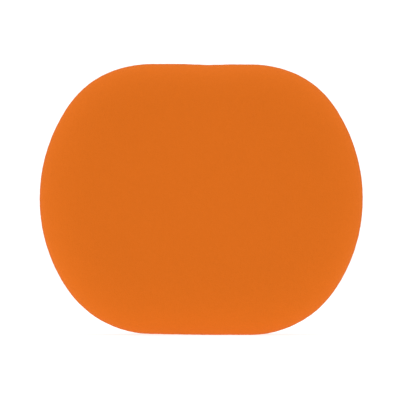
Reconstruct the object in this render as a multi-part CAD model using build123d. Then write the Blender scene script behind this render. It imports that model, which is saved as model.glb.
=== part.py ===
from build123d import *
import os

# A foam polishing pad for the hand, standing upright on its lower flat. It is a laminate of five
# layers: the working face looks along -Y and the loop cloth on the back along +Y. X is the pad's
# width and Z its height. The origin is the bottom centre of the pad's box. Millimetres.

# Outline of the polishing foam, seen face on
pad_width = 120.0         # diameter of the circle that both round ends lie on
pad_height = 100.6        # from the lower flat to the upper flat
corner_radius = 38.0      # blends each flat into the round ends
rim_radius = 9.0          # ground on the rim of the working face

# Thickness of each layer, from the working face to the back
foam_thickness = 24.0
foam_bond_thickness = 0.4
support_thickness = 5.0
backing_bond_thickness = 0.4
cloth_thickness = 2.2     # knitted ground and its pile of loops

# The two foams are laminated and sawn together. The loop cloth stays inside their outline.
cloth_inset = 6.0

# Y of each layer's back, counted back from the working face
pad_thickness = (foam_thickness + foam_bond_thickness + support_thickness
                 + backing_bond_thickness + cloth_thickness)
foam_back = foam_thickness - pad_thickness / 2
foam_bond_back = foam_back + foam_bond_thickness
support_back = foam_bond_back + support_thickness
backing_bond_back = support_back + backing_bond_thickness
cloth_back = backing_bond_back + cloth_thickness


def outline(inset):
    """The pad's outline moved in by inset: a round blank with two flats and blended corners."""
    blank = Circle(pad_width / 2 - inset) & Rectangle(pad_width, pad_height - 2 * inset)
    corners = blank.vertices().filter_by(lambda corner: abs(corner.Y) > 1)
    return fillet(corners, corner_radius - inset)


def layer(back, thickness, inset=0):
    """A plate of the pad's outline whose back lies at y = back."""
    back_plane = Plane((0, back, pad_height / 2), x_dir=(1, 0, 0), z_dir=(0, -1, 0))
    return extrude(back_plane * outline(inset), thickness)


def polishing_foam():
    """The open-cell foam block, with the rim of its working face ground round."""
    block = layer(foam_back, foam_thickness)
    working_face = block.faces().sort_by(Axis.Y)[0]
    return fillet(working_face.edges(), rim_radius)


def foam_bond():
    """The hot-melt web between the polishing foam and the support foam."""
    return layer(foam_bond_back, foam_bond_thickness)


def support_foam():
    """The firm closed-cell foam that spreads the push over the polishing foam."""
    return layer(support_back, support_thickness)


def backing_bond():
    """The hot-melt web under the loop cloth."""
    return layer(backing_bond_back, backing_bond_thickness, cloth_inset)


def loop_backing():
    """The loop cloth, as a plate as thick as its knitted ground and pile."""
    return layer(cloth_back, cloth_thickness, cloth_inset)


os.makedirs("parts", exist_ok=True)
for make in (polishing_foam, foam_bond, support_foam, backing_bond, loop_backing):
    export_step(make(), f"parts/{make.__name__}.step")
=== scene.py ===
import math
import random

import bmesh
import bpy
from mathutils import Matrix, Vector, noise


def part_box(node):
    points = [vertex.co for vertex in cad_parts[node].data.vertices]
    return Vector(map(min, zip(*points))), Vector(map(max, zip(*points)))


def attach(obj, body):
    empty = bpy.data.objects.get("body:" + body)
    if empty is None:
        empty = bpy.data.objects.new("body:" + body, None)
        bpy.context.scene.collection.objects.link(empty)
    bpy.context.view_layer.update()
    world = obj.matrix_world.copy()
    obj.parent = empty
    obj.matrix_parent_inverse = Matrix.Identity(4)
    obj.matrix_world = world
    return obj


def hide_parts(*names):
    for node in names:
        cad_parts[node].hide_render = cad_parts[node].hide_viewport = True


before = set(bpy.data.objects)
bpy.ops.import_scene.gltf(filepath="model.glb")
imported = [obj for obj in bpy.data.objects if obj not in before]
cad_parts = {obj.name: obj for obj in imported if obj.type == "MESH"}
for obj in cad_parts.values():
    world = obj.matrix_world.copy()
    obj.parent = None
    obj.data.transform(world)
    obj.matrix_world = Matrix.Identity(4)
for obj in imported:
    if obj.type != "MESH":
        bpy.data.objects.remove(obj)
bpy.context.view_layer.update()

# ---------------------------------------------------------------------------------------------
# Polishing foam
# The soft block that does the polishing: open-cell polyurethane, sawn from a round blank with an
# upper and a lower flat. The front rim is ground away in a broad, flattened roll.

foam_low, foam_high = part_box("polishing_foam")
blank_radius = foam_high.x
flat_height = (foam_high.z - foam_low.z) / 2
pad_centre = Vector((0, 0, foam_low.z + flat_height))
corner_radius = 0.038
roll_reach = 0.022       # how far in from the rim the grinding starts to show
roll_depth = 0.0105      # how far back the rim is ground
roll_rings = 16
outline_step = 0.0012    # spacing of points round the outline of a foam piece
fine_step = 0.0006       # the same for a film or the cloth
foam_grid = 0.0006       # spacing of a foam piece's mesh
swell_size = 0.009       # slow swells of the surface, and the coarse grain on them
swell_depth = 0.00012
grain_size = 0.0016
grain_depth = 0.00005
fine_pore = 0.00024
pore = 0.00042
wide_pore = 0.0010
pore_depth = 0.00016
streak_width = 0.0011    # colour streaks that the saw leaves from front to back
mottle_size = 0.011
orange = (0.683, 0.143, 0.0066)


def cut_outline(inset, spacing):
    """A bmesh holding one flat face of the pad's outline at y = 0, moved in by inset."""
    blank = blank_radius - inset
    corner = corner_radius - inset
    corner_z = flat_height - corner_radius
    corner_x = math.sqrt((blank_radius - corner_radius) ** 2 - corner_z ** 2)
    end_angle = math.atan2(corner_z, corner_x)
    bm = bmesh.new()
    middle = bm.verts.new((0, 0, flat_height - inset))
    flat_end = bm.verts.new((corner_x, 0, flat_height - inset))
    flat = bm.edges.new((middle, flat_end))
    corner_angle = math.pi / 2 - end_angle
    arc = bmesh.ops.spin(bm, geom=[flat_end], cent=(corner_x, 0, corner_z), axis=(0, 1, 0),
                         angle=corner_angle, steps=round(corner * corner_angle / spacing))
    bmesh.ops.spin(bm, geom=arc["geom_last"], cent=(0, 0, 0), axis=(0, 1, 0),
                   angle=end_angle, steps=round(blank * end_angle / spacing))
    bmesh.ops.subdivide_edges(bm, edges=[flat], cuts=round(corner_x / spacing) - 1)
    for axis in "ZX":
        bmesh.ops.mirror(bm, geom=bm.verts[:] + bm.edges[:], axis=axis, merge_dist=1e-6)
    bmesh.ops.contextual_create(bm, geom=bm.edges[:])
    bm.faces.ensure_lookup_table()
    if bm.faces[0].normal.y > 0:
        bm.faces[0].normal_flip()
    return bm


def cut_plate(inset, spacing, front, back):
    """A closed plate of that outline from y = front to y = back, and its front face."""
    bm = cut_outline(inset, spacing)
    bmesh.ops.translate(bm, verts=bm.verts, vec=pad_centre + Vector((0, back, 0)))
    extruded = bmesh.ops.extrude_face_region(bm, geom=bm.faces[:])["geom"]
    pushed = [part for part in extruded if isinstance(part, bmesh.types.BMVert)]
    bmesh.ops.translate(bm, verts=pushed, vec=(0, front - back, 0))
    bmesh.ops.recalc_face_normals(bm, faces=bm.faces)
    front_face = min(bm.faces, key=lambda face: face.calc_center_median().y)
    return bm, front_face


def new_piece(name, bm):
    """An object at the origin with the finished bmesh as its mesh."""
    mesh = bpy.data.meshes.new(name)
    bm.to_mesh(mesh)
    bm.free()
    piece = bpy.data.objects.new(name, mesh)
    bpy.context.scene.collection.objects.link(piece)
    return piece


def settle_modifiers(piece):
    """Makes the piece's mesh what its modifiers show, and takes them off."""
    seen = piece.evaluated_get(bpy.context.evaluated_depsgraph_get())
    shaped = bpy.data.meshes.new_from_object(seen)
    shaped.name = piece.name
    piece.modifiers.clear()
    piece.data = shaped


def skin_over(piece, grid, smoothing):
    """Covers the piece in an even mesh fine enough to carry the foam's unevenness."""
    skin = piece.modifiers.new("skin", "REMESH")
    skin.mode = "VOXEL"
    skin.voxel_size = grid
    skin.use_smooth_shade = True
    ease = piece.modifiers.new("ease", "SMOOTH")
    ease.factor = 0.5
    ease.iterations = smoothing
    settle_modifiers(piece)


def roughen(piece, kind, size, depth):
    """Raises and sinks the surface by depth, in lumps of the given size."""
    lumps = bpy.data.textures.new(piece.name + "_" + kind.lower(), kind)
    lumps.noise_scale = size
    swell = piece.modifiers.new(kind.lower(), "DISPLACE")
    swell.texture = lumps
    swell.texture_coords = "LOCAL"
    swell.strength = depth
    swell.mid_level = 0.5
    settle_modifiers(piece)


bm, front_face = cut_plate(0, outline_step, foam_low.y + roll_depth, foam_high.y)
reach = 0.0
depth = 0.0
for ring in range(1, roll_rings + 1):
    angle = math.pi / 2 * ring / roll_rings
    next_reach = roll_reach * (1 - math.cos(angle))
    next_depth = roll_depth * math.sin(angle)
    bmesh.ops.inset_region(bm, faces=[front_face], thickness=next_reach - reach,
                           depth=next_depth - depth, use_even_offset=True)
    reach = next_reach
    depth = next_depth
foam = new_piece("foam_block", bm)
skin_over(foam, foam_grid, 4)
roughen(foam, "CLOUDS", swell_size, swell_depth)
roughen(foam, "VORONOI", grain_size, grain_depth)

# Sawn foam is never quite true. The saw starts and stops at a witness mark on the upper flat, which
# dips towards it and stays a little low past it. The lower flat runs up at its left end, the round
# ends sit a little high, and the upper corners are a little fuller than the lower ones.
witness_x = 0.0025
witness_half = 0.0085
witness_dip = 0.00026
upper_step = 0.00018
lower_rise = 0.00034
lower_end = 0.004
lower_run = 0.022
ends_lift = 0.00025
upper_corners_out = 0.0004
ripple_depth = 0.00012   # streaks that the blade leaves from front to back of the sawn wall
ripple_width = 0.0016
ripple_run = 0.06        # how slowly a streak changes along its length
ground_share = 0.6       # the part of the roll's depth that the grinding leaves without streaks


def saw_unevenly(piece):
    """Moves the piece's points to where the saw really cut. None goes below the table."""
    facing = [point.normal.copy() for point in piece.data.vertices]
    for point, normal in zip(piece.data.vertices, facing):
        sawn = min(1.0, max(0.0, (point.co.y - foam_low.y) / roll_depth - ground_share))
        across = Vector((normal.x, 0, normal.z))
        streak = Vector((point.co.x, point.co.y * ripple_run, point.co.z)) / ripple_width
        point.co += across * noise.noise(streak) * ripple_depth * sawn
        height = (point.co.z - pad_centre.z) / flat_height
        lift = ends_lift * (1 - height ** 2)
        if height > 0:
            past = min(1.0, max(0.0, point.co.x / witness_half / 2 + 0.5))
            dip = witness_dip * max(0.0, 1 - abs(point.co.x - witness_x) / witness_half)
            lift -= (dip + upper_step * past ** 2 * (3 - 2 * past)) * height ** 2
            fuller = upper_corners_out * math.sin(math.pi * min(1.0, height) ** 4)
            point.co.x *= 1 + fuller / blank_radius
            lift += fuller * height
        else:
            left = min(1.0, max(0.0, (lower_end - point.co.x) / lower_run))
            lift += lower_rise * left * height ** 2
        point.co.z = max(0.0, point.co.z + lift)


saw_unevenly(foam)


class Shade:
    """One socket in a finish. Plain maths on it adds the Math nodes."""

    def __init__(self, finish, socket):
        self.finish = finish
        self.socket = socket

    def maths(self, operation, first, second):
        return self.finish.node("ShaderNodeMath", {"operation": operation}, {0: first, 1: second})

    def __add__(self, other):
        return self.maths("ADD", self, other)

    def __sub__(self, other):
        return self.maths("SUBTRACT", self, other)

    def __rsub__(self, other):
        return self.maths("SUBTRACT", other, self)

    def __mul__(self, other):
        return self.maths("MULTIPLY", self, other)

    __radd__ = __add__
    __rmul__ = __mul__


class Finish:
    """The nodes of one material or of the tent round the pad, added one call at a time."""

    def __init__(self, owner, surface="Principled BSDF", **fixed):
        owner.use_nodes = True
        self.owner = owner
        self.tree = owner.node_tree
        self.surface = self.tree.nodes[surface]
        for words, value in fixed.items():
            self.surface.inputs[words.replace("_", " ")].default_value = value

    def fill(self, entry, value):
        """Sets a socket to a value, or links a shade to it."""
        if isinstance(value, Shade):
            self.tree.links.new(value.socket, entry)
        else:
            entry.default_value = value

    def node(self, kind, settings, sockets, output=0):
        """A new node with its settings made and then its sockets filled. Returns one output."""
        made = self.tree.nodes.new(kind)
        for name, value in settings.items():
            setattr(made, name, value)
        for name, value in sockets.items():
            self.fill(made.inputs[name], value)
        return Shade(self, made.outputs[output])

    def place(self, stretch=(1, 1, 1)):
        """Where a point lies on the piece, in metres, stretched along each axis."""
        here = self.node("ShaderNodeTexCoord", {}, {}, "Object")
        return self.node("ShaderNodeMapping", {}, {"Vector": here, "Scale": stretch})

    def cloud(self, place, size, detail=2.0):
        """Soft noise from 0 to 1 in lumps of the given size."""
        sockets = {"Vector": place, "Scale": 1 / size, "Detail": detail}
        return self.node("ShaderNodeTexNoise", {}, sockets)

    def cells(self, place, size):
        """Distance from the nearest cell's middle: 0 there and about 0.6 at its walls."""
        return self.node("ShaderNodeTexVoronoi", {}, {"Vector": place, "Scale": 1 / size})

    def ramp(self, value, low, high):
        """Eases value from 0 at low to 1 at high."""
        settings = {"interpolation_type": "SMOOTHSTEP"}
        sockets = {"Value": value, "From Min": low, "From Max": high}
        return self.node("ShaderNodeMapRange", settings, sockets)

    def blend(self, amount, first, second):
        """A colour between two others."""
        sockets = {0: amount, 6: first, 7: second}
        return self.node("ShaderNodeMix", {"data_type": "RGBA"}, sockets, 2)

    def paint(self, socket, value):
        """Feeds one socket of the surface."""
        self.fill(self.surface.inputs[socket], value)

    def relief(self, height, distance, strength=1.0):
        """Fine relief of that height, in metres, too small for the mesh."""
        sockets = {"Height": height, "Distance": distance, "Strength": strength}
        self.paint("Normal", self.node("ShaderNodeBump", {}, sockets))


def shade_of(colour, share):
    """The colour made lighter or darker by share, with an alpha of 1."""
    return (*[min(1.0, part * share) for part in colour], 1)


def foam_finish():
    """Orange foam: fine pores, ground soft on the face and left open on the sawn wall. The pores
    carry painted shade, darkest on the sawn wall.
    """
    finish = Finish(bpy.data.materials.new("orange_open_cell_foam"), Specular_IOR_Level=0.15)
    place = finish.place()
    depth = finish.node("ShaderNodeSeparateXYZ", {}, {"Vector": place}, "Y")
    sawn_from = foam_low.y + roll_depth * ground_share
    sawn = finish.ramp(depth, sawn_from, sawn_from + roll_depth / 2)
    fine_pores = 1 - finish.ramp(finish.cells(place, fine_pore), 0.15, 0.6)
    pores = 1 - finish.ramp(finish.cells(place, pore), 0.15, 0.6)
    wide_pores = 1 - finish.ramp(finish.cells(place, wide_pore), 0.18, 0.52)
    mottle = finish.cloud(place, mottle_size)
    streaks = finish.cloud(finish.place((1, 0.1, 1)), streak_width)
    tone = finish.blend(mottle, shade_of(orange, 0.995), shade_of(orange, 1.02))
    # Painted shade: the pores are painted darker than the foam, most on the sawn wall. The saw
    # streaks on that wall are a darker colour of their own.
    pore_shade_and_saw_streaks = fine_pores * 0.08 + pores * (0.02 + sawn * 0.28) + wide_pores * (0.02 + sawn * 0.32)
    pore_shade_and_saw_streaks = pore_shade_and_saw_streaks + finish.ramp(streaks, 0.45, 0.7) * sawn * 0.12
    finish.paint("Base Color", finish.blend(pore_shade_and_saw_streaks, tone, shade_of(orange, 0.5)))
    finish.paint("Roughness", 0.84 + pores * 0.12)
    height = 1 - fine_pores * 0.2 - pores * 0.4 - wide_pores * sawn + streaks * 0.3
    finish.relief(height, pore_depth, 0.5)
    return finish.owner


foam.data.materials.append(foam_finish())
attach(foam, "root")
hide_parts("polishing_foam")

# ---------------------------------------------------------------------------------------------
# Foam bond
# A web of hot-melt adhesive, melted between the two foams in a heated press before the saw cuts
# both. Its cut edge shows between them as a thin, uneven, satin line.

bond_inset = 0.0004      # how far the cut film draws back between the foams
bond_swell = 0.0005
ooze_scale = 450         # slow swells along the edge of a film, and fine ones on them
fine_ooze_scale = 1500
flow_size = 0.0021
bond_grain = 0.0007
bond_grain_depth = 0.0001
bond_colour = (0.50, 0.45, 0.34)


def melted_web(name, inset, low, high, squeeze):
    """A thin film with an uneven rounded edge that swells out by about squeeze at most."""
    bm, _ = cut_plate(inset, fine_step, low.y, high.y)
    rim = [edge for edge in bm.edges if abs(edge.verts[0].co.y - edge.verts[1].co.y) > 1e-6]
    bmesh.ops.subdivide_edges(bm, edges=rim, cuts=3)
    middle = (low.y + high.y) / 2
    half = (high.y - low.y) / 2
    for point in bm.verts:
        out = point.co - pad_centre
        out.y = 0
        round_edge = math.sqrt(max(0.0, 1 - ((point.co.y - middle) / half) ** 2))
        ooze = 0.5 + 0.5 * noise.noise(point.co * ooze_scale)
        ooze += 0.35 * noise.noise(point.co * fine_ooze_scale)
        point.co += out.normalized() * squeeze * round_edge * max(0.1, ooze)
    film = new_piece(name, bm)
    for face in film.data.polygons:
        face.use_smooth = abs(face.normal.y) < 0.9
    return film


def hot_melt_finish():
    """Set hot-melt adhesive: milky, satin, with faint flow marks."""
    adhesive = bpy.data.materials.new("hot_melt_adhesive")
    finish = Finish(adhesive, Roughness=0.4, Specular_IOR_Level=0.5)
    place = finish.place()
    flow = finish.cloud(place, flow_size, 3.0)
    amount = finish.ramp(flow, 0.3, 0.7)
    tone = finish.blend(amount, shade_of(bond_colour, 0.86), shade_of(bond_colour, 1.1))
    finish.paint("Base Color", tone)
    finish.paint("Roughness", 0.32 + flow * 0.25)
    finish.relief(finish.cloud(place, bond_grain), bond_grain_depth, 0.4)
    return finish.owner


hot_melt = hot_melt_finish()
foam_bond = melted_web("foam_bond_web", bond_inset, *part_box("foam_bond"), bond_swell)
saw_unevenly(foam_bond)
foam_bond.data.materials.append(hot_melt)
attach(foam_bond, "root")
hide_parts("foam_bond")

# ---------------------------------------------------------------------------------------------
# Support foam
# A sheet of firm, closed-cell foam that spreads the push of the hand, laminated to the polishing
# foam and sawn with it. Its back edge is slightly rounded, and its cells show as fine pits.

support_low, support_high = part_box("support_foam")
support_edge = 0.0009    # how much of its back edge is rounded
support_grain = 0.0014
support_grain_depth = 0.00006
pit_size = 0.0009
pit_depth = 0.0002
cell_size = 0.0006
support_mottle = 0.006
charcoal = (0.034, 0.035, 0.038)

bm, _ = cut_plate(0, outline_step, support_low.y, support_high.y)
back = support_high.y - 1e-6
edges = [edge for edge in bm.edges if min(point.co.y for point in edge.verts) > back]
bmesh.ops.bevel(bm, geom=edges, offset=support_edge, offset_type="OFFSET", segments=4,
                profile=0.5, affect="EDGES", material=-1)
support = new_piece("support_foam_layer", bm)
skin_over(support, foam_grid, 2)
roughen(support, "VORONOI", support_grain, support_grain_depth)
saw_unevenly(support)


def support_finish():
    """Charcoal closed-cell foam: dull, with fine pits that carry painted shade, and a few paler
    cells.
    """
    finish = Finish(bpy.data.materials.new("charcoal_closed_cell_foam"), Specular_IOR_Level=0.4)
    place = finish.place()
    pits = 1 - finish.ramp(finish.cells(place, pit_size), 0.15, 0.5)
    skins = finish.ramp(finish.cells(place, cell_size), 0.3, 0.75)
    mottle = finish.cloud(place, support_mottle)
    tone = finish.blend(skins * 0.7 + mottle * 0.3, shade_of(charcoal, 0.9), shade_of(charcoal, 1.9))
    # Painted shade: the pits are painted much darker than the foam round them.
    finish.paint("Base Color", finish.blend(pits, tone, shade_of(charcoal, 0.35)))
    finish.paint("Roughness", 0.65 + pits * 0.25)
    finish.relief(1 - pits, pit_depth, 0.6)
    return finish.owner


support.data.materials.append(support_finish())
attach(support, "root")
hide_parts("support_foam")

# ---------------------------------------------------------------------------------------------
# Backing bond
# A second web of the same adhesive, under the loop cloth and cut with it.

cloth_low, cloth_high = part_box("loop_backing")
cloth_inset = blank_radius - cloth_high.x
backing_swell = 0.00035
backing_bond = melted_web("backing_bond_web", cloth_inset, *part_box("backing_bond"), backing_swell)
backing_bond.data.materials.append(hot_melt)
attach(backing_bond, "root")
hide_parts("backing_bond")

# ---------------------------------------------------------------------------------------------
# Loop cloth
# Warp-knitted nylon, die-cut in one piece: a thin ground with ribs that run up the pad, called
# wales, and on them a standing pile of small loops that the hooks of a holder catch.

ground_thickness = 0.0006
wale_pitch = 0.0014
wale_height = 0.00018
strips_per_wale = 4
loop_pitch = 0.0012      # from one loop to the next along a wale
loop_height = 0.0015
loop_width = 0.00095
yarn_radius = 0.00015
loop_root = 0.0002       # how far a loop's feet go into the ground
loop_margin = 0.0007     # the least distance from a loop's middle to the cut edge
margin_step = 0.001      # spacing of points round the outline that the loops keep inside
wale_wander = 0.00012    # how far a loop strays across its wale, and along it
row_wander = 0.0003
stitch_scale = 310       # sets about one stitch to a millimetre
stitch_depth = 0.0002
fuzz_size = 0.0004
yarn_fuzz_size = 0.0003
cloth_grey = (0.52, 0.53, 0.55)

bm, _ = cut_plate(cloth_inset, fine_step, cloth_low.y, cloth_low.y + ground_thickness)
cloth_half = cloth_high.x
strips = round(2 * cloth_half / wale_pitch * strips_per_wale)
for strip in range(1, strips):
    x = -cloth_half + 2 * cloth_half * strip / strips
    ahead = [face for face in bm.faces if max(point.co.x for point in face.verts) > x + 1e-7]
    lines = {edge for face in ahead for edge in face.edges}
    points = {point for face in ahead for point in face.verts}
    bmesh.ops.bisect_plane(bm, geom=ahead + list(lines) + list(points), dist=1e-7,
                           plane_co=(x, 0, 0), plane_no=(1, 0, 0))
for point in bm.verts:
    if point.co.y > cloth_low.y + ground_thickness / 2:
        rise = abs(math.cos(math.pi * point.co.x / wale_pitch))
        point.co.y += wale_height * (rise - 1)
ground = new_piece("loop_cloth_ground", bm)
for face in ground.data.polygons:
    face.use_smooth = face.normal.y > 0.5

# One loop, made from a three-sided yarn: a foot, an arch and a foot.
bm = bmesh.new()
foot = bmesh.ops.create_circle(bm, cap_ends=True, segments=3, radius=yarn_radius,
                               matrix=Matrix.Rotation(math.pi / 2, 4, "X"))["verts"]
bmesh.ops.translate(bm, verts=foot, vec=(-loop_width / 2, 0, 0))
arch = bm.faces[:]
leg = loop_height - loop_width / 2 + loop_root
grown = bmesh.ops.extrude_face_region(bm, geom=arch, use_keep_orig=True)["geom"]
bmesh.ops.translate(bm, verts=[part for part in grown if isinstance(part, bmesh.types.BMVert)],
                    vec=(0, leg, 0))
turned = bmesh.ops.spin(bm, geom=grown, cent=(0, leg, 0), axis=(0, 0, -1), angle=math.pi, steps=4)
grown = bmesh.ops.extrude_face_region(bm, geom=turned["geom_last"])["geom"]
bmesh.ops.translate(bm, verts=[part for part in grown if isinstance(part, bmesh.types.BMVert)],
                    vec=(0, -leg, 0))
bmesh.ops.recalc_face_normals(bm, faces=bm.faces)
one_loop = bpy.data.meshes.new("one_loop")
bm.to_mesh(one_loop)
bm.free()
points_per_loop = len(one_loop.vertices)

cut = cut_outline(cloth_inset, fine_step)
cloth_area = cut.faces[0].calc_area()
cut.free()
knitted = cut_outline(cloth_inset + loop_margin, margin_step)
spots = random.Random(11)
pile_bm = bmesh.new()
wales = int(cloth_half / wale_pitch)
rows = int(flat_height / loop_pitch)
loops = 0
for wale in range(-wales, wales + 1):
    for row in range(-rows, rows + 1):
        x = wale * wale_pitch + spots.uniform(-wale_wander, wale_wander)
        z = (row + 0.5 * (wale % 2)) * loop_pitch + spots.uniform(-row_wander, row_wander)
        if not bmesh.geometry.intersect_face_point(knitted.faces[0], (x, 0, z)):
            continue
        turn = Matrix.Rotation(math.pi / 2 + spots.gauss(0, 0.45), 4, "Y")
        lean = Matrix.Rotation(spots.gauss(0.1, 0.22), 4, "X")
        size = Matrix.Diagonal((spots.uniform(0.8, 1.25), spots.uniform(0.8, 1.08), 1, 1))
        base = cloth_low.y + ground_thickness - loop_root
        stand = Matrix.Translation(pad_centre + Vector((x, base, z))) @ lean @ turn @ size
        one_loop.transform(stand)
        pile_bm.from_mesh(one_loop)
        one_loop.transform(stand.inverted())
        loops += 1
knitted.free()
pile = new_piece("loop_cloth_pile", pile_bm)
for face in pile.data.polygons:
    face.use_smooth = True
lot = pile.data.attributes.new("loop_lot", "FLOAT", "POINT")
lots = [spots.random() for _ in range(loops)]
lot.data.foreach_set("value", [value for value in lots for _ in range(points_per_loop)])


def cloth_finish():
    """The knitted ground: grey nylon with a row of stitches along each wale, painted darker than the
    loops as shade under the pile, and darker still where its stitches sink, a painted shade.
    """
    finish = Finish(bpy.data.materials.new("grey_knitted_nylon"), Roughness=0.8, Sheen_Weight=0.15)
    place = finish.place()
    settings = {"wave_type": "BANDS", "bands_direction": "Z"}
    sockets = {"Vector": place, "Scale": stitch_scale, "Distortion": 1.5, "Detail": 1.0}
    stitches = finish.node("ShaderNodeTexWave", settings, sockets, "Fac")
    fuzz = finish.cloud(place, fuzz_size)
    amount = stitches * 0.5 + fuzz * 0.5
    # Painted shade: the ground is painted darker than the loops that stand over it, and darker where
    # the relief sinks between the stitches.
    tone = finish.blend(amount, shade_of(cloth_grey, 0.42), shade_of(cloth_grey, 0.72))
    finish.paint("Base Color", tone)
    finish.relief(amount, stitch_depth, 0.6)
    return finish.owner


def pile_finish():
    """The loops: grey nylon yarn, paler than the ground with its painted shade, each loop a little
    lighter or darker than the next.
    """
    finish = Finish(bpy.data.materials.new("grey_nylon_loops"), Roughness=0.6, Sheen_Weight=0.2)
    each = finish.node("ShaderNodeAttribute", {"attribute_name": "loop_lot"}, {}, "Fac")
    fuzz = finish.cloud(finish.place(), yarn_fuzz_size)
    amount = each * 0.6 + fuzz * 0.4
    tone = finish.blend(amount, shade_of(cloth_grey, 0.85), shade_of(cloth_grey, 1.3))
    finish.paint("Base Color", tone)
    finish.paint("Roughness", 0.5 + fuzz * 0.25)
    return finish.owner


ground.data.materials.append(cloth_finish())
pile.data.materials.append(pile_finish())
for piece in (ground, pile):
    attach(piece, "root")
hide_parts("loop_backing")

# ---------------------------------------------------------------------------------------------
# White table and daylight tent
# The pad stands on a white table inside a white tent, which lights it evenly from all round.
# Soft boxes to the left, to the right and above it lift its rim.

scene = bpy.context.scene
scene.view_settings.view_transform = "Standard"

table_half = 3.0
bm = bmesh.new()
bmesh.ops.create_grid(bm, x_segments=1, y_segments=1, size=table_half)
table = new_piece("white_table", bm)
table_glow = 1.0         # what the table gives the pad, above the tent's light that it throws back
table_seen = 0.82        # the same as the camera sees it: white, with a soft shadow by the pad
table_finish = Finish(bpy.data.materials.new("white_table"), Base_Color=(0.3, 0.3, 0.3, 1),
                      Roughness=0.9, Emission_Strength=1)
straight = table_finish.node("ShaderNodeLightPath", {}, {}, "Is Camera Ray")
glow = table_finish.blend(straight, (table_glow,) * 3 + (1,), (table_seen,) * 3 + (1,))
table_finish.paint("Emission Color", glow)
table.data.materials.append(table_finish.owner)

tent_light = 0.69        # what the tent's walls give the pad
tent_seen = 1.15         # the walls themselves, which the camera sees as plain white
scene.world = bpy.data.worlds.new("tent")
tent = Finish(scene.world, "Background", Color=(1, 1, 1, 1))
straight = tent.node("ShaderNodeLightPath", {}, {}, "Is Camera Ray")
tent.paint("Strength", tent_light + straight * (tent_seen - tent_light))


def soft_box(name, place, size, power):
    """A square light that faces the pad's middle."""
    lamp = bpy.data.lights.new(name, "AREA")
    lamp.size = size
    lamp.energy = power
    box = bpy.data.objects.new(name, lamp)
    box.location = pad_centre + Vector(place)
    box.rotation_mode = "QUATERNION"
    box.rotation_quaternion = Vector(place).to_track_quat("Z", "Y")
    scene.collection.objects.link(box)


soft_box("left_box", (-0.9, 0.0, 0.4), 0.5, 2.1)
soft_box("right_box", (0.9, 0.0, 0.6), 0.5, 2.1)
soft_box("top_box", (0.0, 0.0, 0.9), 0.5, 3.1)

# ---------------------------------------------------------------------------------------------
# Camera
# A long lens level with the pad's middle and square to its working face.

view_width = 0.1484      # what the view takes in where the foam is widest
camera_distance = 1.6
aim_left = 0.00046       # the pad sits this far right of the view's middle, and this far above it
aim_low = 0.00022
view_centre = pad_centre + Vector((-aim_left, foam_low.y + roll_depth, -aim_low))
lens = bpy.data.cameras.new("camera")
lens.sensor_width = 36
lens.lens = lens.sensor_width * camera_distance / view_width
lens.clip_start = 0.1
lens.clip_end = 20
camera = bpy.data.objects.new("camera", lens)
camera.location = view_centre + Vector((0, -camera_distance, 0))
camera.rotation_euler = (math.pi / 2, 0, 0)
scene.collection.objects.link(camera)
scene.camera = camera

bpy.context.view_layer.update()
